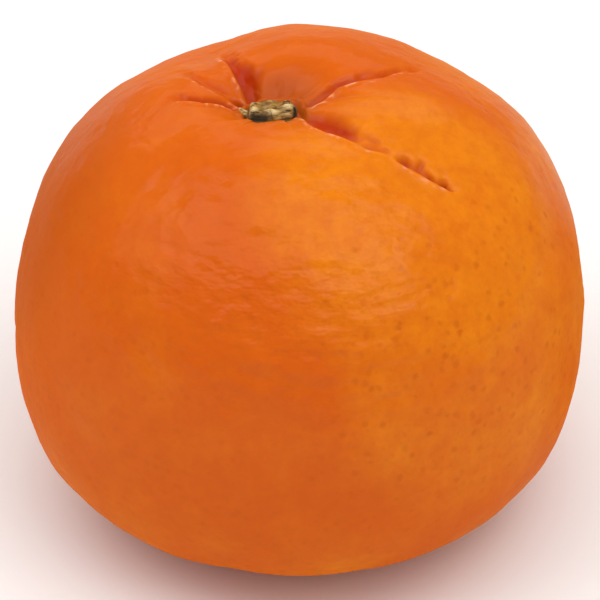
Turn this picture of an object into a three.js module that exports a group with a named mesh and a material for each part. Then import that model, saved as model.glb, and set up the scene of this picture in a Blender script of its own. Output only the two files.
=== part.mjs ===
// A mandarin at its real size, in millimetres: the fruit with its furrowed neck, and the woody button
// that the cut stem left in it. +Z is up, and the origin is the middle of the spot that it rests on.
import * as THREE from "three";
import { mergeVertices } from "three/addons/utils/BufferGeometryUtils.js";

// The body: a rounded box of revolution, taller above its widest level than below it.
const HALF_WIDTH = 35.4;
const CROWN_HEIGHT = 32.5;
const BASE_DEPTH = 26.4;
const CROWN_POWER = 2.17;
const BASE_POWER = 2.85;

// How far the flat resting spot cuts into the base, and the blossom-end dimple inside that spot.
const REST_CUT = 0.6;
const BLOSSOM_DEPTH = 1.6;
const BLOSSOM_RADIUS = 5;

// The neck stands off the fruit's middle, towards -X, and the shift fades out down the shoulder.
const NECK_OFFSET = -3.6;
const NECK_FADE = 20;

// The basin round the button, and the flat seat in it that the button sits on.
const BASIN_DEPTH = 3.3;
const BASIN_RADIUS = 7.5;
const SEAT_RADIUS = 3.35;
const SEAT_WALL = 0.8;
const SEAT_HEIGHT = 27.8;

// Broad swellings and flats that make this fruit lopsided: where they face, and how far they stand out.
const SWELLING_SHARPNESS = 16;
const SWELLINGS = [
  { bearing: 3, above: 8, rise: -0.8 },
  { bearing: 19, above: 27, rise: 0.17 },
  { bearing: 52, above: 49, rise: -0.53 },
  { bearing: 125, above: 50, rise: -1.46 },
  { bearing: 151, above: 36, rise: -0.21 },
  { bearing: 175, above: 11, rise: -0.72 },
  { bearing: -162, above: -18, rise: 0.31 },
  { bearing: -148, above: -28, rise: 0.41 },
  { bearing: -131, above: -41, rise: 0.1 },
  { bearing: -87, above: -49, rise: -0.58 },
  { bearing: -49, above: -41, rise: -0.19 },
  { bearing: -13, above: -11, rise: -0.65 },
  { bearing: -95, above: 12, rise: -0.6 },
  { bearing: 80, above: 4, rise: 0.3 },
  { bearing: 112, above: -22, rise: -0.5 },
];

// The furrows that run out of the neck. Each has a sharp crease in a broad valley. Bearings are in
// degrees at the neck and at the far end, and the rest in millimetres.
const FURROWS = [
  { bearing: [-46, -34], start: 3.4, reach: 23, crease: 1.8, width: 1.3, valley: 0.5, breadth: 4.5 },
  { bearing: [18, 41], start: 3.6, reach: 21, crease: 1.2, width: 1.0, valley: 0.9, breadth: 5 },
  { bearing: [128, 122], start: 3.4, reach: 18, crease: 1.8, width: 1.3, valley: 1.5, breadth: 6 },
  { bearing: [183, 178], start: 3.8, reach: 14.5, crease: 0.8, width: 0.8, valley: 0.2, breadth: 4 },
  { bearing: [155, 148], start: 5.5, reach: 17, crease: 0.6, width: 0.9, valley: 0.2, breadth: 4 },
  { bearing: [10, 2], start: 5, reach: 13.5, crease: 0.4, width: 0.7, valley: 0, breadth: 4 },
];

// A furrow opens over this stretch at its start. Its crease begins to fade at this share of its reach,
// and its valley fades out over this distance beyond it.
const OPENS_BEFORE = 0.6;
const OPENS_AFTER = 1.2;
const CREASE_HOLDS = 0.7;
const VALLEY_FADE = 10;

// The button: a low five-lobed collar with the cut stem's oval stump in its middle. The stump's broken
// top is hollow: its middle lies lower than its rim by this much.
const STUMP_HEIGHT = 1.55;
const STUMP_RADIUS = 2.25;
const COLLAR_RADIUS = 3.1;
const COLLAR_HEIGHT = 0.6;
const TOP_HOLLOW = 0.25;
const LOBES = 5;
const LOBE_REACH = 0.06;
const LOBE_BEARING = 176;
const STUMP_STRETCH = 0.28;

const ROUND_STEPS = 96;
const CROWN_TO_BASE_STEPS = 52;
const NECK_CROWDING = 0.73;
const BUTTON_STEPS = 40;

const { degToRad, smoothstep } = THREE.MathUtils;
const bell = (distance, breadth) => Math.exp(-((distance / breadth) ** 2));

// The signed angle from b to a, between -pi and pi.
const turnBetween = (a, b) => Math.atan2(Math.sin(a - b), Math.cos(a - b));

// How far the swellings push the skin out in the direction of a unit vector.
function swellingAt(direction) {
  let rise = 0;
  for (const spot of SWELLINGS) {
    const bearing = degToRad(spot.bearing);
    const above = degToRad(spot.above);
    const facing = new THREE.Vector3(
      Math.cos(above) * Math.cos(bearing),
      Math.cos(above) * Math.sin(bearing),
      Math.sin(above),
    );
    rise += spot.rise * Math.exp(SWELLING_SHARPNESS * (facing.dot(direction) - 1));
  }
  return rise;
}

// How far the neck's basin and furrows lower the skin, at a distance and a bearing from the neck.
function neckReliefAt(distance, bearing) {
  let relief = -BASIN_DEPTH * bell(distance, BASIN_RADIUS);
  for (const furrow of FURROWS) {
    const along = smoothstep(distance, furrow.start, furrow.reach);
    const line = degToRad(furrow.bearing[0] + (furrow.bearing[1] - furrow.bearing[0]) * along);
    const turn = turnBetween(bearing, line);
    if (Math.abs(turn) > Math.PI / 2) continue;
    const aside = distance * Math.sin(turn);
    const open = smoothstep(distance, furrow.start - OPENS_BEFORE, furrow.start + OPENS_AFTER);
    const crease = open * (1 - smoothstep(distance, CREASE_HOLDS * furrow.reach, furrow.reach));
    const valley = open * (1 - smoothstep(distance, furrow.reach, furrow.reach + VALLEY_FADE));
    relief -= furrow.crease * crease * Math.exp(-Math.abs(aside) / furrow.width);
    relief -= furrow.valley * valley * bell(aside, furrow.breadth);
  }
  return relief;
}

// The skin's place for an angle down from the crown and a bearing, measured from the widest level.
function skinPoint(down, bearing) {
  const direction = new THREE.Vector3(
    Math.sin(down) * Math.cos(bearing),
    Math.sin(down) * Math.sin(bearing),
    Math.cos(down),
  );
  const upper = direction.z > 0;
  const power = upper ? CROWN_POWER : BASE_POWER;
  const height = upper ? CROWN_HEIGHT : BASE_DEPTH;
  const across = (Math.sin(down) / HALF_WIDTH) ** power;
  const upright = (Math.abs(direction.z) / height) ** power;
  const radius = (across + upright) ** (-1 / power) + swellingAt(direction);
  const point = direction.multiplyScalar(radius);
  const distance = radius * Math.sin(down);
  if (upper) {
    const seat = 1 - smoothstep(distance, SEAT_RADIUS, SEAT_RADIUS + SEAT_WALL);
    point.z += neckReliefAt(distance, bearing);
    point.z += (SEAT_HEIGHT - point.z) * seat;
    point.x += NECK_OFFSET * bell(distance, NECK_FADE);
  } else {
    point.z += BLOSSOM_DEPTH * bell(distance, BLOSSOM_RADIUS);
  }
  point.z = Math.max(point.z, REST_CUT - BASE_DEPTH);
  return point;
}

// A unit sphere whose vertices are moved onto the skin, with its rows crowded towards the neck.
function fruitGeometry() {
  const sphere = new THREE.SphereGeometry(1, ROUND_STEPS, CROWN_TO_BASE_STEPS).rotateX(Math.PI / 2);
  const place = sphere.getAttribute("position");
  for (let i = 0; i < place.count; i++) {
    const share = Math.acos(THREE.MathUtils.clamp(place.getZ(i), -1, 1)) / Math.PI;
    const down = Math.PI * share * (1 - NECK_CROWDING * (1 - share));
    const point = skinPoint(down, Math.atan2(place.getY(i), place.getX(i)));
    place.setXYZ(i, point.x, point.y, point.z);
  }
  return sealed(sphere);
}

// The button's outline from the middle of the stump's top, over the collar, to the middle underneath.
function buttonGeometry() {
  const outline = [
    [0, STUMP_HEIGHT - TOP_HOLLOW],
    [0.5 * STUMP_RADIUS, STUMP_HEIGHT - 0.8 * TOP_HOLLOW],
    [0.85 * STUMP_RADIUS, STUMP_HEIGHT],
    [STUMP_RADIUS, STUMP_HEIGHT - TOP_HOLLOW],
    [1.03 * STUMP_RADIUS, 0.5 * (STUMP_HEIGHT + COLLAR_HEIGHT)],
    [1.1 * STUMP_RADIUS, 1.15 * COLLAR_HEIGHT],
    [0.5 * (STUMP_RADIUS + COLLAR_RADIUS), COLLAR_HEIGHT],
    [0.93 * COLLAR_RADIUS, 0.8 * COLLAR_HEIGHT],
    [COLLAR_RADIUS, 0.45 * COLLAR_HEIGHT],
    [0.92 * COLLAR_RADIUS, 0],
    [0, 0],
  ].map(([radius, height]) => new THREE.Vector2(radius, height));
  const lathe = new THREE.LatheGeometry(outline.reverse(), BUTTON_STEPS).rotateX(Math.PI / 2);
  const place = lathe.getAttribute("position");
  for (let i = 0; i < place.count; i++) {
    const radius = Math.hypot(place.getX(i), place.getY(i));
    const bearing = Math.atan2(place.getY(i), place.getX(i));
    const outwards = smoothstep(radius, STUMP_RADIUS, COLLAR_RADIUS);
    const lobe = 1 + LOBE_REACH * outwards * Math.cos(LOBES * (bearing - degToRad(LOBE_BEARING)));
    const stretch = STUMP_STRETCH * (1 - outwards);
    place.setX(i, place.getX(i) * lobe * (1 + stretch));
    place.setY(i, place.getY(i) * lobe * (1 - stretch));
  }
  return sealed(lathe);
}

// The same shape with its seam and its poles closed.
function sealed(geometry) {
  geometry.deleteAttribute("normal");
  geometry.deleteAttribute("uv");
  const closed = mergeVertices(geometry, 1e-4);
  closed.computeVertexNormals();
  return closed;
}

const fruit = new THREE.Mesh(
  fruitGeometry(),
  new THREE.MeshStandardMaterial({ color: "#e2691c", roughness: 0.42, metalness: 0 }),
);
fruit.name = "fruit";

const button = new THREE.Mesh(
  buttonGeometry(),
  new THREE.MeshStandardMaterial({ color: "#85764a", roughness: 0.85, metalness: 0 }),
);
button.name = "stem_button";
button.position.set(NECK_OFFSET, 0, SEAT_HEIGHT);

// Stand the pieces on the resting spot, with the middle of the fruit's outline over the origin.
const mandarin = new THREE.Group();
fruit.geometry.computeBoundingBox();
const middle = fruit.geometry.boundingBox.getCenter(new THREE.Vector3());
mandarin.position.set(-middle.x, -middle.y, BASE_DEPTH - REST_CUT);
mandarin.add(fruit, button);

export default mandarin;
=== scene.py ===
"""A fresh mandarin on a pale studio floor: the fruit's skin and the dry stem button in its neck."""
import math
import bpy
import numpy as np
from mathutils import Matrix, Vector


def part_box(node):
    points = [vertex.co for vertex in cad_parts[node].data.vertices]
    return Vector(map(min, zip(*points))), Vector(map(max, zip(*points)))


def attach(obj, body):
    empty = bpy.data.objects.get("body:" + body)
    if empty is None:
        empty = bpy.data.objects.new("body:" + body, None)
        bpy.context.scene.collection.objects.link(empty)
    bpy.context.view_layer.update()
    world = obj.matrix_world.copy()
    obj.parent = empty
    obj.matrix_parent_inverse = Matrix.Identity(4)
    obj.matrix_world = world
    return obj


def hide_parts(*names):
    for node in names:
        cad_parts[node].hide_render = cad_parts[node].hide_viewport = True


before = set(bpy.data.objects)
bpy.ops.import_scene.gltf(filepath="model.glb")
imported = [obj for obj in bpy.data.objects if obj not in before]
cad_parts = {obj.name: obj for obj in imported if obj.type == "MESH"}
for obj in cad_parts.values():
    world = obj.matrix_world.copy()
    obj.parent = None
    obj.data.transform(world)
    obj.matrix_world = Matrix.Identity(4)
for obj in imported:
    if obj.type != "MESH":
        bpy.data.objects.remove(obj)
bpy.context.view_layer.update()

MM = 0.001

# The body in millimetres, measured from the widest level: a rounded box of revolution.
HALF_WIDTH = 35.4
CROWN_HEIGHT = 32.5
BASE_DEPTH = 26.4
CROWN_POWER = 2.17
BASE_POWER = 2.85
REST_CUT = 0.6
BLOSSOM_DEPTH = 1.6
BLOSSOM_RADIUS = 5.0

# The neck: its offset from the fruit's middle, the basin round it, and the pit that the button sits in.
NECK_OFFSET = -3.6
NECK_FADE = 20.0
BASIN_DEPTH = 3.3
BASIN_RADIUS = 7.5
PIT_RADIUS = 3.3
PIT_WALL = 0.8
SEAT_HEIGHT = 27.8

# Broad swellings that make the fruit lopsided: (bearing and height angle in degrees, rise).
SWELLING_SHARPNESS = 16.0
SWELLINGS = (
    (3, 8, -0.8),
    (19, 27, 0.17),
    (52, 49, -0.53),
    (125, 50, -1.46),
    (151, 36, -0.21),
    (175, 11, -0.72),
    (-162, -18, 0.31),
    (-148, -28, 0.41),
    (-131, -41, 0.1),
    (-87, -49, -0.58),
    (-49, -41, -0.19),
    (-13, -11, -0.65),
    (-95, 12, -0.6),
    (80, 4, 0.3),
    (112, -22, -0.5),
)

# The furrows that run out of the neck, each given along its distance from the neck: the bearing of its
# crease line, its depth, and the width of its gentle wall. steep says which side drops at once, with
# +1 for the anticlockwise side. Then come the steep wall's width, the lip, how ragged the far part is,
# and the valley around it.
FURROWS = (
    dict(
        line=((3.4, -36), (6, -41), (8.5, -44), (11.5, -42), (15, -37), (18, -34), (23, -31)),
        depth=(
            (3.2, 0), (4.2, 1.4), (9.0, 1.6), (10.2, 1.2), (11.5, 0.6), (14, 0.45), (16, 0.35),
            (17.2, 1.0), (21.5, 1.1), (22.8, 0)),
        wall=((4, 1.6), (6, 2.7), (9, 2.8), (10.5, 2.2), (12.5, 1.7), (16, 1.1), (17, 0.8), (23, 0.7)),
        steep=-1, near=0.28, lip=0.25, ragged=0.35, valley=0.5, breadth=4.5, reach=21,
    ),
    dict(
        line=((3.4, 12), (5.6, 18), (8, 27), (11, 28), (14, 29), (21, 38)),
        depth=((3.4, 0), (4.6, 0.7), (7, 0.8), (9, 1.1), (11, 0.8), (14, 0.5), (18, 0.35), (21, 0)),
        wall=((4, 0.9), (9, 1.0), (21, 0.9)),
        steep=-1, near=0.28, lip=0.25, ragged=0.15, valley=0.9, breadth=5.0, reach=21,
    ),
    dict(
        line=((2.5, 138), (5, 128), (7, 125), (10, 123), (18, 118)),
        depth=((3.2, 0), (4.2, 0.8), (5.5, 1.4), (8.5, 2.0), (10.5, 1.2), (13, 0.8), (16, 0.5), (18, 0)),
        wall=((4, 0.8), (5.5, 1.6), (8, 2.4), (10, 1.9), (12, 1.3), (18, 1.2)),
        steep=1, near=0.28, lip=0.3, ragged=0.12, valley=1.5, breadth=6.0, reach=18,
    ),
    dict(
        line=((4, 164), (5.5, 169), (7.5, 177), (9, 182), (14.5, 178)),
        depth=((4.0, 0), (5, 0.5), (6.5, 1.1), (10.5, 1.2), (12.5, 0.5), (15.5, 0)),
        wall=((4, 0.8), (7, 1.2), (15, 1.2)),
        steep=1, near=0.25, lip=0.3, ragged=0.15, valley=0.2, breadth=4.0, reach=14.5,
    ),
    dict(
        line=((5, 157), (7, 151), (10, 155), (17, 147)),
        depth=((5.8, 0), (7.5, 0.5), (11, 0.6), (17, 0)),
        wall=((5, 1.1), (17, 1.4)),
        steep=1, near=0.5, lip=0.15, ragged=0.15, valley=0.2, breadth=4.0, reach=17,
    ),
    dict(
        line=((3.8, 147), (6.5, 153)),
        depth=((3.7, 0), (4.4, 1.1), (5.4, 1.1), (6.4, 0)),
        wall=((4, 0.6), (7, 0.6)),
        steep=1, near=0.25, lip=0.3, ragged=0.15, valley=0.0, breadth=4.0, reach=7,
    ),
    dict(
        line=((5, 10), (14, 2)),
        depth=((4.8, 0), (7, 0.3), (10, 0.25), (14, 0)),
        wall=((5, 1.0), (14, 1.0)),
        steep=-1, near=0.6, lip=0.0, ragged=0.1, valley=0.0, breadth=4.0, reach=14,
    ),
)
VALLEY_FADE = 10.0

# The walls of the furrows fray beyond the first of these distances, and wholly from the second.
FRAYED = (9, 15)

# Short wrinkles round the pit: how many, how wide, how far they reach and how deep they are.
PUCKERS = 16
PUCKER_WIDTH = 0.42
PUCKER_REACH = (5.6, 9.5)
PUCKER_DEPTH = (0.10, 0.32)

# The pit's wall stands up in front of the button and is hollowed behind it: the bearing, the rise, the
# distance from the neck and the breadth.
FRONT_RIM = (-60, 1.12, 4.7, 1.4)
BACK_WALL = (95, -0.8, 4.8, 1.8)

# The fine relief, finest last, as (height, wavelength, seed). The wrinkles show on slack skin alone.
SWELLS = ((0.10, 13.0, 11), (0.03, 7.0, 12))
RIPPLES = ((0.014, 3.4, 13), (0.012, 2.0, 14))
WRINKLES = ((0.060, 2.6, 15), (0.040, 1.6, 16))
WRINKLE_STRETCH = (0.42, 0.42, 1.0)

# How sharply the slackness falls off round its front and its right patch, and how slack the rest is.
SLACK_SHARPNESS = (9.0, 20.0)
EVEN_SLACK = 0.04

# The fine relief fades in between these distances from the neck's middle.
CALM = (3.4, 6.5)

# Patches of the skin, each by the bearing and the height angle that it faces, in degrees.
SLACK_FRONT = (-92, 38)
SLACK_RIGHT = (-63, 3)
YELLOW_SHOULDER = (-45, 47)
YELLOW_SIDE = (-8, 20)
YELLOW_FRONT = (-50, 14)
YELLOW_BACK = (50, 0)
# The left side is painted deeper orange, partly as shade away from the key light.
LEFT_SHADE_SIDE = (176, 25)
BLOOM_LEFT = (171, 46)
BLOOM_RIGHT = (12, 30)
RUBBED_RIGHT = (-12, 4)
RUBBED_LEFT = (187, 8)

# How much wax lies where it has neither bloomed nor been rubbed off.
EVEN_WAX = 0.4

# The stem button: an oval stump of dry wood on a thin, ragged collar of old sepals.
STUMP_HALF = (2.9, 1.6)
STUMP_POWER = 2.7
STUMP_HEIGHT = 1.55
COLLAR_RADIUS = 3.1
COLLAR_HEIGHT = 0.6
SEPALS = 5
SEPAL_BEARING = 176.0

# One sepal's dry tip is left: how far it rises and reaches, and how narrow it is.
SEPAL_RISE = 1.1
SEPAL_REACH = 0.85
SEPAL_POWER = 150

# About how many millimetres one unit of the button's outline is, outwards and upwards.
OUTLINE_MM = (2.5, 1.0)

# Marks on the broken top, as (across, back, half its width, half its depth) from the stump's middle.
CRACK = (1.9, -0.5, 0.5, 0.2)
# The hollow is carved and also painted dark as its shade.
HOLLOW = (-1.5, -1.25, 1.6, 0.85)
LOBE = (0.5, -0.5, 1.3, 1.0)
WORN_EDGE = (-2.2, 0.0, 0.9, 0.55)

# The sizes of the materials' patterns in millimetres. The large glands are unequal, so the ones that
# stand out lie further apart than their cells. The wood's fibres are really a tenth of a millimetre
# wide, which a pixel of an eighth of a millimetre can't show, so they are drawn about a third of one.
BLOTCHES = 9.0
MOTTLING = 2.6
LARGE_GLANDS = 1.75
SMALL_GLANDS = 1.15
CRINKLES = 1.3
FACETS = 1.2
DENTS = 2.4
GRAIN = 0.9
FIBRES = 0.55
WOOD_PATCHES = 1.3

# The softboxes: the bearing and height angle in degrees, the distance, width and depth in metres, and
# the radiance.
SOFTBOXES = (
    ("overhead", -88, 83, 0.9, 1.5, 0.75, 1.6),
    ("key", -42, 52, 1.0, 0.7, 0.7, 1.2),
    ("left", 190, 40, 1.1, 0.7, 0.7, 0.95),
    ("back", 95, 34, 1.1, 1.4, 0.5, 1.1),
)

# How high over the floor the lights aim, how strong the even white surroundings are, and half of the
# floor's side, in metres.
LIGHT_AIM = 0.03
SURROUNDINGS = 0.5
FLOOR_HALF = 3.0

# How many columns and rows the two grids have, and how far the skin's rows crowd towards the neck.
FRUIT_ROUND = 512
FRUIT_ROWS = 190
NECK_CROWDING = 0.73
BUTTON_ROUND = 360
BUTTON_ROWS = 150

# The photograph is 600 pixels square, with 572 of them across a width of 70 mm at the fruit's middle.
PHOTO_SIDE = 600
PIXEL = 70.0 / 572.0
CAMERA_ABOVE = math.radians(38)
CAMERA_DISTANCE = 700.0
MIDDLE_PIXEL = (302.5, 301.3)
SENSOR = 36.0


def smoothstep(value, low, high):
    """0 up to low, 1 from high, and the cubic 3s^2 - 2s^3 of the share s in between."""
    share = np.clip((value - low) / (high - low), 0, 1)
    return share * share * (3 - 2 * share)


def bell(distance, breadth):
    """The Gaussian bell exp(-(distance / breadth)^2)."""
    return np.exp(-((distance / breadth) ** 2))


def oval(across, back, spot):
    """A bell over an ellipse: exp(-(x / a)^2 - (y / b)^2) for offsets x and y from its middle."""
    middle_across, middle_back, half_across, half_back = spot
    return bell(np.hypot((across - middle_across) / half_across, (back - middle_back) / half_back), 1.0)


def unit(bearing, above):
    """The unit vector at a bearing and a height angle, both in degrees."""
    turn, rise = math.radians(bearing), math.radians(above)
    return np.array([math.cos(rise) * math.cos(turn), math.cos(rise) * math.sin(turn), math.sin(rise)])


def waves(points, wavelength, seed, count=28):
    """Smooth noise of about unit spread: the sum of plane waves in random directions, whose lengths
    lie around the given wavelength, over the square root of half their count."""
    random = np.random.default_rng(seed)
    directions = random.normal(size=(count, 3))
    directions /= np.linalg.norm(directions, axis=1)[:, None]
    lengths = wavelength * random.uniform(0.75, 1.5, count)
    phases = random.uniform(0, 2 * math.pi, count)
    total = np.zeros(points.shape[:-1])
    for direction, length, phase in zip(directions, lengths, phases):
        total += np.cos(points @ direction * (2 * math.pi / length) + phase)
    return total / math.sqrt(count / 2)


def relief_of(points, layers):
    """The sum of smooth noises, each with its own height, wavelength and seed."""
    return sum(height * waves(points, wavelength, seed) for height, wavelength, seed in layers)


def facing(direction, patch, low, high):
    """0 to 1 as a direction turns towards a patch: the smoothstep of the cosine between them."""
    return smoothstep(direction @ unit(*patch), low, high)


def closed_grid(name, points, attributes, material):
    """A closed mesh from a grid of rows (top pole to bottom pole) by columns (once round). The first and
    the last row are single points. Faces turn outward for columns that run anticlockwise."""
    rows, columns = points.shape[:2]
    ring = np.arange(columns)
    after = (ring + 1) % columns
    body = points[1:-1].reshape(-1, 3)
    top, bottom = len(body), len(body) + 1
    vertices = np.vstack([body, points[0, :1], points[-1, :1]])
    first = (np.arange(rows - 3) * columns)[:, None]
    upper, upper_after = first + ring, first + after
    quads = np.stack([upper, upper + columns, upper_after + columns, upper_after], -1).reshape(-1, 4)
    last = (rows - 3) * columns
    cap = np.stack([np.full(columns, top), ring, after], -1)
    floor = np.stack([np.full(columns, bottom), last + after, last + ring], -1)
    mesh = bpy.data.meshes.new(name)
    mesh.from_pydata(vertices.tolist(), [], quads.tolist() + cap.tolist() + floor.tolist())
    for key, values in attributes.items():
        layer = mesh.attributes.new(key, "FLOAT", "POINT")
        packed = np.concatenate([values[1:-1].ravel(), values[0, :1], values[-1, :1]])
        layer.data.foreach_set("value", packed.astype(np.float32))
    mesh.shade_smooth()
    mesh.materials.append(material)
    piece = bpy.data.objects.new(name, mesh)
    bpy.context.scene.collection.objects.link(piece)
    return piece


# The fruit.

def body_points(down, bearing):
    """The plain body: 1 / radius^n = (sin(down) / half width)^n + (|cos(down)| / height)^n, with its own
    power and height above and below the widest level, plus a bell for each swelling."""
    direction = np.stack([np.sin(down) * np.cos(bearing), np.sin(down) * np.sin(bearing), np.cos(down)], -1)
    upper = direction[..., 2] > 0
    power = np.where(upper, CROWN_POWER, BASE_POWER)
    height = np.where(upper, CROWN_HEIGHT, BASE_DEPTH)
    across = (np.sin(down) / HALF_WIDTH) ** power
    radius = (across + (np.abs(direction[..., 2]) / height) ** power) ** (-1 / power)
    for spot_bearing, above, rise in SWELLINGS:
        closeness = direction @ unit(spot_bearing, above) - 1
        radius = radius + rise * np.exp(SWELLING_SHARPNESS * closeness)
    return direction, radius


def furrow_relief(distance, bearing, place):
    """What the furrows take off the skin at a distance and a bearing from the neck, how deep in a crease
    each point lies, which also sets the painted shade down in the creases, and where pale glints are
    painted on a lip. A crease falls off as exp(-aside / near) on its steep side and as
    exp(-(aside / wall)^3.5) on the other, which leaves a floor, a wall and a shoulder.
    It has a raised lip at the steep side, in a valley that is a Gaussian bell across the line."""
    relief = np.zeros_like(distance)
    crease_shade_mask = np.zeros_like(distance)
    lip_glint_mask = np.zeros_like(distance)
    loose = smoothstep(distance, *FRAYED)
    for number, furrow in enumerate(FURROWS):
        bearings, depths, walls = (
            np.interp(distance, *np.array(furrow[key], float).T) for key in ("line", "depth", "wall"))
        line = np.radians(bearings)
        turn = np.arctan2(np.sin(bearing - line), np.cos(bearing - line))
        here = np.abs(turn) < math.pi / 2
        ragged = 0.03 + furrow["ragged"] * loose
        aside = distance * np.sin(turn) + 0.25 * loose * waves(place, 5.0, 40 + number)
        depth = depths * (1 + ragged * waves(place, 2.2, 50 + number))
        wall = walls * np.clip(1 + ragged * waves(place, 1.3, 70 + number), 0.4, 1.8)
        sheer = np.exp(-np.sqrt(aside**2 + 0.01) / furrow["near"])
        gentle = np.exp(-((np.abs(aside) / wall) ** 3.5))
        crease = here * depth * np.where(aside * furrow["steep"] > 0, sheer, gentle)
        valley_fade = smoothstep(distance, 2.8, 4.6) * (
            1 - smoothstep(distance, furrow["reach"], furrow["reach"] + VALLEY_FADE))
        valley = here * furrow["valley"] * valley_fade * bell(aside, furrow["breadth"])
        lip_line = aside - furrow["steep"] * (furrow["near"] + 0.5)
        lip = here * furrow["lip"] * np.minimum(depth, 1.2) * bell(lip_line, 0.5)
        relief += lip - crease - valley
        # The deepest crease here also sets how much painted shade the crease gets.
        crease_shade_mask = np.maximum(crease_shade_mask, crease)
        # Patches along each steep lip where pale glints are painted.
        glint_share = smoothstep(waves(place, 0.7, 90 + number), 0.5, 1.1)
        lip_glint_mask = np.maximum(lip_glint_mask, here * glint_share * bell(lip_line, 0.35) * smoothstep(depth, 0.3, 0.8))
    return relief, crease_shade_mask, lip_glint_mask


def pucker_relief(distance, bearing):
    """Short radial wrinkles round the pit: each is a narrow bell across its own bearing. They are deepest
    at the back and almost smooth in front."""
    random = np.random.default_rng(7)
    relief = np.zeros_like(distance)
    for number in range(PUCKERS):
        middle = math.radians(360 * (number + random.uniform(-0.35, 0.35)) / PUCKERS)
        reach = random.uniform(*PUCKER_REACH)
        depth = random.uniform(*PUCKER_DEPTH)
        here = np.cos(bearing - middle) > 0
        aside = distance * np.sin(bearing - middle)
        opens = smoothstep(distance, 3.6, 4.6)
        ends = 1 - smoothstep(distance, 4.8, reach)
        relief -= here * depth * bell(aside, PUCKER_WIDTH) * opens * ends
    return relief * (0.55 + 0.45 * np.sin(bearing))


def fine_relief(place, direction):
    """The skin's own unevenness in millimetres: low swells, the orange-peel ripple, and wrinkles that are
    stretched sideways so that they run level, as high as the skin is slack. Also how slack each point
    is: 1 in the middle of the front patch, 0.4 in that of the right one, and less with
    exp(sharpness * (cosine of the angle from the middle - 1))."""
    front = np.exp(SLACK_SHARPNESS[0] * (direction @ unit(*SLACK_FRONT) - 1))
    right = 0.4 * np.exp(SLACK_SHARPNESS[1] * (direction @ unit(*SLACK_RIGHT) - 1))
    slack = front + EVEN_SLACK + right
    even = relief_of(place, SWELLS) + relief_of(place, RIPPLES)
    wrinkles = relief_of(place * np.array(WRINKLE_STRETCH), WRINKLES)
    return even + slack * wrinkles, slack


def wall_change(distance, bearing, wall):
    """How far a stretch of the pit's wall is raised: its rise, times the squared cosine of the turn from
    its bearing, times a bell across its own distance from the neck."""
    towards, rise, middle, breadth = wall
    turned = np.clip(np.cos(bearing - math.radians(towards)), 0, 1) ** 2
    return rise * turned * bell(distance - middle, breadth)


def make_fruit(material):
    """The skin: the plain body, lowered by the basin, the furrows and the puckers, with a flat seat in a
    pit, shifted towards the off-centre neck, and cut level where it rests."""
    share = np.linspace(0, 1, FRUIT_ROWS + 1)[:, None]
    down = math.pi * share * (1 - NECK_CROWDING * (1 - share))
    bearing = np.linspace(0, 2 * math.pi, FRUIT_ROUND, endpoint=False)[None, :] + 0 * down
    down = down + 0 * bearing
    direction, radius = body_points(down, bearing)
    distance = radius * np.sin(down)
    place = direction * radius[..., None]
    upper = direction[..., 2] > 0
    calm = smoothstep(distance, *CALM)
    relief, slack = fine_relief(place, direction)
    points = direction * (radius + calm * relief)[..., None]
    furrows, crease, lip_glint = furrow_relief(distance, bearing, place)
    neck = -BASIN_DEPTH * bell(distance, BASIN_RADIUS) + furrows + pucker_relief(distance, bearing)
    neck += wall_change(distance, bearing, FRONT_RIM)
    neck += wall_change(distance, bearing, BACK_WALL)
    points[..., 2] += np.where(upper, neck, BLOSSOM_DEPTH * bell(distance, BLOSSOM_RADIUS))
    # The pit's outline is a little uneven, like its torn edge.
    outline = PIT_RADIUS + 0.12 * np.cos(3 * bearing + 1.0) + 0.08 * np.cos(7 * bearing + 2.0)
    seat = upper * (1 - smoothstep(distance, outline, outline + PIT_WALL))
    points[..., 2] += (SEAT_HEIGHT - points[..., 2]) * seat
    points[..., 0] += np.where(upper, NECK_OFFSET * bell(distance, NECK_FADE), 0)
    points[..., 2] = np.maximum(points[..., 2], REST_CUT - BASE_DEPTH)
    # Browner at the pit's edge, partly the dry skin's own colour and partly painted shade, and painted
    # shade further out behind the button.
    pit_brown_and_shade = bell(distance - 3.4, 1.6) + 0.6 * bell(distance - 5.5, 2.6) * np.clip(np.sin(bearing), 0, 1)
    # The glands show least on the crown.
    spotted = 1 - 0.75 * smoothstep(direction[..., 2], 0.5, 0.85)
    masks = {
        "crease": np.clip(crease * upper, 0, 2),
        "lip_glint": lip_glint * upper,
        "pit_brown_and_shade": np.clip(pit_brown_and_shade, 0, 1) * upper,
        "slack": np.clip(slack, 0, 1),
        "yellowing": yellowing(direction, place),
        "deep": facing(direction, LEFT_SHADE_SIDE, 0.80, 1.0),
        "wax": wax(direction),
        "spotted": spotted,
    }
    scale, middle = onto_node(points, "fruit")
    return closed_grid("mandarin_skin", points * scale + middle, masks, material), middle


def yellowing(direction, place):
    """How far the peel has stayed yellow-orange: a patch on the right shoulder, which carries on down the
    front right, round the right side and the back, and fainter under the fruit. The strongest patch
    counts at each point, and smooth noise makes the edges uneven."""
    height = direction[..., 2]
    parts = (
        facing(direction, YELLOW_SHOULDER, 0.74, 0.95),
        0.3 * facing(direction, YELLOW_SIDE, 0.6, 0.95),
        0.65 * facing(direction, YELLOW_FRONT, 0.80, 0.97),
        0.6 * facing(direction, YELLOW_BACK, 0.1, 0.9) * (1 - smoothstep(height, 0.6, 0.95)),
        0.35 * smoothstep(-height, 0.1, 0.7),
    )
    return np.clip(np.maximum.reduce(parts) + 0.08 * waves(place, 15.0, 21), 0, 1)


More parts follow.
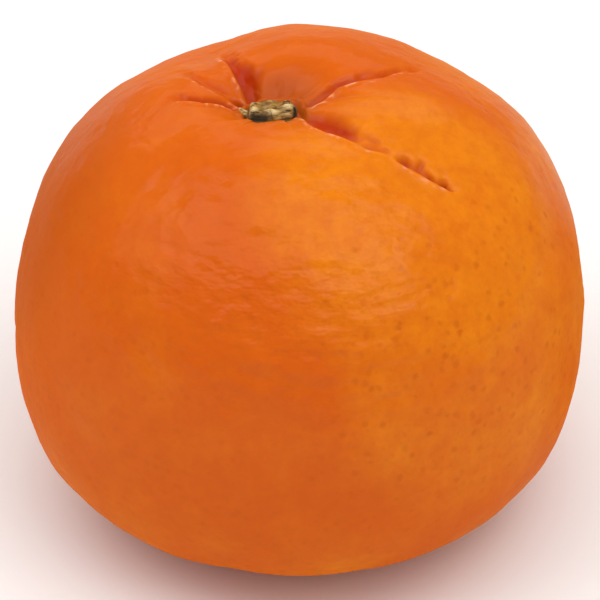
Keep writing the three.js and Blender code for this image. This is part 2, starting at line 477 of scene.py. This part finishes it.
def wax(direction):
    """How thick the wax lies: evenly over most of the skin, rubbed thin on the right and the left side,
    and with a bloom on the left and the right shoulder."""
    left_bloom = 0.2 * facing(direction, BLOOM_LEFT, 0.955, 0.99)
    right_bloom = 0.35 * facing(direction, BLOOM_RIGHT, 0.93, 0.99)
    rubbed_right = 0.3 * facing(direction, RUBBED_RIGHT, 0.85, 0.99)
    rubbed_left = 0.2 * facing(direction, RUBBED_LEFT, 0.80, 0.99)
    return EVEN_WAX + left_bloom + right_bloom - (rubbed_right + rubbed_left)


def onto_node(points, node):
    """The scale and the shift that carry points in millimetres into metres, with their box exactly on
    the CAD node's box. The scale differs from one thousandth by a few hundredths of a percent."""
    low, high = (np.array(corner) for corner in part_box(node))
    least, most = points.min((0, 1)), points.max((0, 1))
    scale = (high - low) / (most - least)
    return scale, low - least * scale


# The stem button.

def make_button(material, middle):
    """The button as an outline swept round: down the broken top, over the stump's side, across the thin
    collar and underneath, with lobes and one sepal tip on the collar, and splits and ridges on the
    stump. The stump's edge is 1 / radius^n = (|cos| / half width)^n + (|sin| / half depth)^n."""
    outline = np.array([
        (0.0, STUMP_HEIGHT - 0.25),
        (0.45, STUMP_HEIGHT - 0.15),
        (0.85, STUMP_HEIGHT - 0.05),
        (0.97, STUMP_HEIGHT - 0.25),
        (1.0, 0.65 * STUMP_HEIGHT),
        (0.97, COLLAR_HEIGHT),
        (1.35, COLLAR_HEIGHT),
        (1.85, 0.8 * COLLAR_HEIGHT),
        (2.0, 0.4 * COLLAR_HEIGHT),
        (1.9, 0.0),
        (0.0, 0.0),
    ])
    across_mm, upright_mm = (np.diff(outline, axis=0) * OUTLINE_MM).T
    steps = np.concatenate([[0], np.cumsum(np.hypot(across_mm, upright_mm))])
    along = np.linspace(0, steps[-1], BUTTON_ROWS + 1)[:, None]
    bearing = np.linspace(0, 2 * math.pi, BUTTON_ROUND, endpoint=False)[None, :] + 0 * along
    share = np.interp(along, steps, outline[:, 0]) + 0 * bearing
    height = np.interp(along, steps, outline[:, 1]) + 0 * bearing
    wood = np.clip(share, 0, 1)
    collar = np.clip(share - 1, 0, 1)
    across_share = np.abs(np.cos(bearing)) / STUMP_HALF[0]
    back_share = np.abs(np.sin(bearing)) / STUMP_HALF[1]
    stump_edge = (across_share**STUMP_POWER + back_share**STUMP_POWER) ** (-1 / STUMP_POWER)
    ragged = waves(np.stack([np.cos(bearing), np.sin(bearing), 0 * bearing], -1), 0.5, 61)
    lobes = 1 + 0.06 * np.cos(SEPALS * (bearing - math.radians(SEPAL_BEARING)))
    tip = np.clip(np.cos(bearing - math.radians(SEPAL_BEARING)), 0, 1) ** SEPAL_POWER
    collar_edge = COLLAR_RADIUS * lobes + 0.05 * ragged + SEPAL_REACH * tip
    edge = stump_edge * (1 + 0.03 * ragged)
    radius = wood * edge + collar * (collar_edge - edge)
    height = height + SEPAL_RISE * tip * collar
    place = np.stack([radius * np.cos(bearing), radius * np.sin(bearing), height], -1)
    across, back = place[..., 0], place[..., 1]
    top = smoothstep(height, COLLAR_HEIGHT, STUMP_HEIGHT - 0.4)
    split = np.exp(-np.abs(waves(place * np.array([1, 1.3, 0.4]), 2.9, 62)) / 0.06)
    crack = oval(across, back, CRACK)
    dark_end = 0.8 * smoothstep(across, 2.1, 2.7) * smoothstep(-back, -0.9, 0.0)
    hollow = oval(across, back, HOLLOW)
    ridge = bell(0.78 * (across + 0.6) + 0.62 * back, 0.4) * (1 - hollow)
    lobe = oval(across, back, LOBE)
    grain = waves(place * np.array([0.35, 1.6, 0.5]), 0.8, 63)
    lumps = waves(place, 1.5, 64)
    above = smoothstep(height, 0.02, 0.3)
    raised = 0.10 * ridge + 0.08 * lobe + 0.04 * lumps
    carved = raised - 0.30 * np.maximum(split, crack) - 0.8 * hollow
    place[..., 2] += above * (carved * top + 0.05 * lumps + 0.05 * grain)
    place[..., 2] = np.clip(place[..., 2], 0, STUMP_HEIGHT + 0.15)
    place[-1, :, 2] = 0
    pale_tip = 3 * tip * collar
    worn = 0.7 * ridge + 1.2 * oval(across, back, WORN_EDGE) + 0.5 * lobe
    worn = worn + 0.25 * lumps + 0.2 * grain + pale_tip
    stump = np.maximum(top, np.clip(pale_tip, 0, 1))
    # Dark in the splits and the crack, dark at the front of the right end, and dark in the hollow at the
    # front left as painted shade.
    dark = np.maximum.reduce([0.8 * split, crack, hollow, dark_end])
    masks = {
        "split": dark * above * (1 - tip * (share > 1)),
        "stump": stump,
        "worn": np.clip(worn, 0, 1) * stump,
    }
    place = (place + np.array([NECK_OFFSET, 0, SEAT_HEIGHT])) * MM + middle
    return closed_grid("stem_button_wood", place, masks, material)


# Materials.

def rgb(code):
    """An sRGB hex colour as linear RGBA: a channel up to 0.04045 is divided by 12.92, and a brighter one
    is ((channel + 0.055) / 1.055)^2.4."""
    channels = [int(code[i:i + 2], 16) / 255 for i in (1, 3, 5)]
    linear = [
        level / 12.92 if level <= 0.04045 else ((level + 0.055) / 1.055) ** 2.4 for level in channels]
    return linear + [1]


def add(tree, kind, output, inputs, **settings):
    """Adds a shader node with its settings, gives each named input its value or its link, and returns
    the named output."""
    node = tree.nodes.new("ShaderNode" + kind)
    for key, value in settings.items():
        setattr(node, key, value)
    for key, value in inputs.items():
        if isinstance(value, bpy.types.NodeSocket):
            tree.links.new(value, node.inputs[key])
        else:
            node.inputs[key].default_value = value
    return node.outputs[output]


def finish_material(name, grow):
    """A material whose one shader is what grow returns for its tree and its object coordinates in
    millimetres."""
    material = bpy.data.materials.new(name)
    material.use_nodes = True
    tree = material.node_tree
    tree.nodes.clear()
    metres = add(tree, "TexCoord", "Object", {})
    place = add(tree, "VectorMath", "Vector", {0: metres, "Scale": 1 / MM}, operation="SCALE")
    output = tree.nodes.new("ShaderNodeOutputMaterial")
    tree.links.new(grow(tree, place), output.inputs["Surface"])
    return material


def glands(tree, place, spacing, reach):
    """Round spots of unequal strength: near 1 at the points of a Voronoi pattern whose cells are spacing
    millimetres across, and fading to 0 at reach of that spacing."""
    cells = {"Vector": place, "Scale": 1 / spacing}
    gap = add(tree, "TexVoronoi", "Distance", cells)
    lot = add(tree, "SeparateColor", "Red", {"Color": add(tree, "TexVoronoi", "Color", cells)})
    spot = add(tree, "MapRange", "Result", {
        "Value": gap, "From Min": 0.3 * reach, "From Max": reach, "To Min": 1.0, "To Max": 0.0,
    }, interpolation_type="SMOOTHSTEP")
    strength = add(tree, "MapRange", "Result", {"Value": lot, "To Min": 0.35, "To Max": 1.0})
    return add(tree, "Math", "Value", {0: spot, 1: strength}, operation="MULTIPLY")


def peel(tree, place):
    """Citrus peel: a thin cuticle of wax over orange flavedo with oil glands in it. The wax coat alone
    gives the soft broad sheen, the flavedo lets light in a millimetre or so, which warms and softens the
    furrows, and each gland is a shallow pit that looks darker and browner."""
    # The flavedo's colour: orange, yellower in patches and mottled, and deeper at the left, partly its own
    # colour and partly painted shade on the side away from the key light.
    yellow = add(tree, "Attribute", "Fac", {}, attribute_name="yellowing")
    blotch = add(tree, "TexNoise", "Fac", {
        "Vector": place, "Scale": 1 / BLOTCHES, "Detail": 3.0, "Roughness": 0.55})
    uneven = add(tree, "MapRange", "Result", {
        "Value": blotch, "From Min": 0.3, "From Max": 0.7, "To Min": -0.16, "To Max": 0.16})
    ripeness = add(tree, "Math", "Value", {0: yellow, 1: uneven}, operation="ADD")
    colour = add(tree, "Mix", "Result", {
        "Factor": ripeness, "A": rgb("#D65F0C"), "B": rgb("#E57F0C")}, data_type="RGBA")
    # Painted shade over a deeper peel colour: the left side, away from the key light, is darker.
    deep = add(tree, "Attribute", "Fac", {}, attribute_name="deep")
    colour = add(tree, "Mix", "Result", {
        "Factor": deep, "A": colour, "B": rgb("#C0540C")}, data_type="RGBA")
    mottle = add(tree, "TexNoise", "Fac", {
        "Vector": place, "Scale": 1 / MOTTLING, "Detail": 5.0, "Roughness": 0.7})
    mottled = add(tree, "MapRange", "Result", {
        "Value": mottle, "From Min": 0.35, "From Max": 0.62, "To Min": 0.0, "To Max": 0.35})
    colour = add(tree, "Mix", "Result", {
        "Factor": mottled, "A": colour, "B": rgb("#CA530A")}, data_type="RGBA")
    # Noise stirs the cells of the glands, so that their shapes and gaps vary more.
    stray = add(tree, "TexNoise", "Color", {"Vector": place, "Scale": 0.9, "Detail": 1.0})
    stray = add(tree, "VectorMath", "Vector", {0: stray, "Scale": 0.7}, operation="SCALE")
    stirred = add(tree, "VectorMath", "Vector", {0: place, 1: stray}, operation="ADD")
    small = glands(tree, stirred, SMALL_GLANDS, 0.32)
    small = add(tree, "Math", "Value", {0: small, 1: 0.35}, operation="MULTIPLY")
    large = glands(tree, stirred, LARGE_GLANDS, 0.36)
    dots = add(tree, "Math", "Value", {0: large, 1: small}, operation="MAXIMUM")
    shown = add(tree, "MapRange", "Result", {
        "Value": yellow, "From Min": 0.0, "From Max": 0.7, "To Min": 0.2, "To Max": 0.45})
    spotted = add(tree, "Attribute", "Fac", {}, attribute_name="spotted")
    shown = add(tree, "Math", "Value", {0: shown, 1: spotted}, operation="MULTIPLY")
    seen = add(tree, "Math", "Value", {0: dots, 1: shown}, operation="MULTIPLY")
    colour = add(tree, "Mix", "Result", {
        "Factor": seen, "A": colour, "B": rgb("#B84E06")}, data_type="RGBA")
    # Painted shade: redder and darker down in the creases.
    crease = add(tree, "Attribute", "Fac", {}, attribute_name="crease")
    crease_shade = add(tree, "MapRange", "Result", {
        "Value": crease, "From Min": 0.12, "From Max": 1.05, "To Min": 0.0, "To Max": 0.9})
    colour = add(tree, "Mix", "Result", {
        "Factor": crease_shade, "A": colour, "B": rgb("#B42E08")}, data_type="RGBA")
    # Painted glints: pale flecks along the furrows' steep lips.
    lip_glint = add(tree, "Attribute", "Fac", {}, attribute_name="lip_glint")
    glint_share = add(tree, "Math", "Value", {0: lip_glint, 1: 0.75}, operation="MULTIPLY")
    colour = add(tree, "Mix", "Result", {
        "Factor": glint_share, "A": colour, "B": rgb("#EDA274")}, data_type="RGBA")
    # Painted shade round the pit and behind the button, over the pit edge's own browner colour.
    pit_brown_and_shade = add(tree, "Attribute", "Fac", {}, attribute_name="pit_brown_and_shade")
    pit_brown_share = add(tree, "Math", "Value", {0: pit_brown_and_shade, 1: 0.6}, operation="MULTIPLY")
    colour = add(tree, "Mix", "Result", {
        "Factor": pit_brown_share, "A": colour, "B": rgb("#A04816")}, data_type="RGBA")
    # The bump: level crinkles and facets where the skin is slack, dents all over, grain and gland pits.
    level = add(tree, "VectorMath", "Vector", {0: place, 1: (0.5, 0.5, 1.0)}, operation="MULTIPLY")
    crinkle = add(tree, "TexNoise", "Fac", {
        "Vector": level, "Scale": 1 / CRINKLES, "Detail": 2.0, "Roughness": 0.6})
    facets = add(tree, "TexVoronoi", "Distance", {"Vector": level, "Scale": 1 / FACETS})
    facets = add(tree, "Math", "Value", {0: facets, 1: 6.0}, operation="MULTIPLY")
    crinkle = add(tree, "Math", "Value", {0: crinkle, 1: 12.0, 2: facets}, operation="MULTIPLY_ADD")
    slack = add(tree, "Attribute", "Fac", {}, attribute_name="slack")
    crinkled = add(tree, "Math", "Value", {0: crinkle, 1: slack}, operation="MULTIPLY")
    dents = add(tree, "TexNoise", "Fac", {"Vector": place, "Scale": 1 / DENTS, "Detail": 1.0})
    crinkled = add(tree, "Math", "Value", {0: dents, 1: 5.0, 2: crinkled}, operation="MULTIPLY_ADD")
    grain = add(tree, "TexNoise", "Fac", {
        "Vector": place, "Scale": 1 / GRAIN, "Detail": 3.0, "Roughness": 0.55})
    pitted = add(tree, "Math", "Value", {0: grain, 1: dots}, operation="SUBTRACT")
    height = add(tree, "Math", "Value", {0: crinkled, 1: pitted}, operation="ADD")
    normal = add(tree, "Bump", "Normal", {"Height": height, "Strength": 0.7, "Distance": 0.05 * MM})
    cover = add(tree, "Attribute", "Fac", {}, attribute_name="wax")
    coat = add(tree, "Math", "Value", {0: cover, 1: 0.3}, operation="MULTIPLY")
    return add(tree, "BsdfPrincipled", "BSDF", {
        "Base Color": colour, "Roughness": 0.5, "Specular IOR Level": 0.0, "Normal": normal,
        "Subsurface Weight": 0.3, "Subsurface Radius": (1.0, 0.35, 0.08), "Subsurface Scale": 0.9 * MM,
        "Coat Weight": coat, "Coat Roughness": 0.12, "Coat IOR": 1.8, "Coat Normal": normal,
    })


def dry_wood(tree, place):
    """Dead sepals and stem: weathered khaki fibres, worn cream along the ridges, dark brown in the splits,
    the crack and the front of the right end, painted shade in dark brown in the hollow at the front left
    and darker low on the sides and the collar, and no shine at all."""
    along = add(tree, "VectorMath", "Vector", {0: place, 1: (0.45, 1.6, 1.0)}, operation="MULTIPLY")
    fibre = add(tree, "TexNoise", "Fac", {
        "Vector": along, "Scale": 1 / FIBRES, "Detail": 4.0, "Roughness": 0.65})
    patches = add(tree, "TexNoise", "Fac", {
        "Vector": place, "Scale": 1 / WOOD_PATCHES, "Detail": 3.0, "Roughness": 0.6})
    faded = add(tree, "MapRange", "Result", {"Value": patches, "From Min": 0.35, "From Max": 0.65})
    colour = add(tree, "Mix", "Result", {
        "Factor": faded, "A": rgb("#7A5624"), "B": rgb("#AE8239")}, data_type="RGBA")
    shade = add(tree, "MapRange", "Result", {"Value": fibre, "From Min": 0.48, "From Max": 0.36})
    colour = add(tree, "Mix", "Result", {
        "Factor": shade, "A": colour, "B": rgb("#523418")}, data_type="RGBA")
    worn = add(tree, "Attribute", "Fac", {}, attribute_name="worn")
    bright = add(tree, "MapRange", "Result", {"Value": fibre, "From Min": 0.38, "From Max": 0.55})
    cream = add(tree, "Math", "Value", {0: worn, 1: bright}, operation="MULTIPLY")
    colour = add(tree, "Mix", "Result", {
        "Factor": cream, "A": colour, "B": rgb("#E2C58C")}, data_type="RGBA")
    # Dark brown in the splits, the crack and the front of the right end, and painted shade in the hollow at
    # the front left.
    split = add(tree, "Attribute", "Fac", {}, attribute_name="split")
    splits_and_shade = add(tree, "MapRange", "Result", {"Value": split, "From Min": 0.2, "From Max": 0.75})
    colour = add(tree, "Mix", "Result", {
        "Factor": splits_and_shade, "A": colour, "B": rgb("#2C1D0C")}, data_type="RGBA")
    # Painted shade: darker low on the stump's sides and over the collar, below the broken top.
    stump = add(tree, "Attribute", "Fac", {}, attribute_name="stump")
    low = add(tree, "MapRange", "Result", {
        "Value": stump, "From Min": 0.8, "From Max": 0.1, "To Min": 0.0, "To Max": 0.6})
    colour = add(tree, "Mix", "Result", {
        "Factor": low, "A": colour, "B": rgb("#4C3B1D")}, data_type="RGBA")
    normal = add(tree, "Bump", "Normal", {"Height": fibre, "Strength": 0.9, "Distance": 0.16 * MM})
    return add(tree, "BsdfPrincipled", "BSDF", {
        "Base Color": colour, "Roughness": 0.85, "Specular IOR Level": 0.3, "Normal": normal})


def paper(tree, place):
    """The floor: matt white paper, evenly pale."""
    return add(tree, "BsdfPrincipled", "BSDF", {"Base Color": rgb("#F6F5F3"), "Roughness": 0.9})


# The studio.

def softbox(name, bearing, above, distance, width, depth, radiance):
    """A rectangular area light that faces the fruit. Its power is radiance times pi times its area."""
    lamp = bpy.data.lights.new(name, "AREA")
    lamp.shape = "RECTANGLE"
    lamp.size = width
    lamp.size_y = depth
    lamp.energy = radiance * math.pi * width * depth
    light = bpy.data.objects.new(name, lamp)
    towards = Vector(unit(bearing, above))
    light.location = Vector((0, 0, LIGHT_AIM)) + towards * distance
    light.rotation_euler = towards.to_track_quat("Z", "Y").to_euler()
    bpy.context.scene.collection.objects.link(light)


def make_studio():
    """A pale floor, even surroundings, and softboxes overhead, front right, at the left and behind."""
    mesh = bpy.data.meshes.new("floor")
    signs = ((-1, -1), (1, -1), (1, 1), (-1, 1))
    corners = [(across * FLOOR_HALF, back * FLOOR_HALF, 0) for across, back in signs]
    mesh.from_pydata(corners, [], [(0, 1, 2, 3)])
    mesh.materials.append(finish_material("matt_white_paper", paper))
    floor = bpy.data.objects.new("floor", mesh)
    bpy.context.scene.collection.objects.link(floor)
    world = bpy.data.worlds.new("studio")
    world.use_nodes = True
    background = world.node_tree.nodes["Background"]
    background.inputs["Color"].default_value = rgb("#FFFFFF")
    background.inputs["Strength"].default_value = SURROUNDINGS
    bpy.context.scene.world = world
    for box in SOFTBOXES:
        softbox(*box)


def make_camera(middle):
    """The photograph's view: 38 degrees above the floor, looking along +Y, with the fruit's middle on the
    pixel where the photograph has it."""
    back = Vector((0, -math.cos(CAMERA_ABOVE), math.sin(CAMERA_ABOVE)))
    right = Vector((1, 0, 0))
    up = back.cross(right)
    half = PHOTO_SIDE / 2
    across = (half - MIDDLE_PIXEL[0]) * PIXEL * MM
    upwards = (MIDDLE_PIXEL[1] - half) * PIXEL * MM
    lens = bpy.data.cameras.new("camera")
    lens.sensor_width = SENSOR
    lens.lens = SENSOR * CAMERA_DISTANCE / (PHOTO_SIDE * PIXEL)
    lens.clip_end = 20
    camera = bpy.data.objects.new("camera", lens)
    camera.location = Vector(middle) + right * across + up * upwards + back * CAMERA_DISTANCE * MM
    camera.rotation_euler = back.to_track_quat("Z", "Y").to_euler()
    bpy.context.scene.collection.objects.link(camera)
    bpy.context.scene.camera = camera


skin, fruit_middle = make_fruit(finish_material("citrus_peel", peel))
button = make_button(finish_material("dry_stem_wood", dry_wood), fruit_middle)
for piece, node, slot in ((skin, "fruit", "peel"), (button, "stem_button", "woody_button")):
    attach(piece, "root")
    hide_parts(node)
make_studio()
make_camera(fruit_middle)
bpy.context.scene.view_settings.view_transform = "Standard"
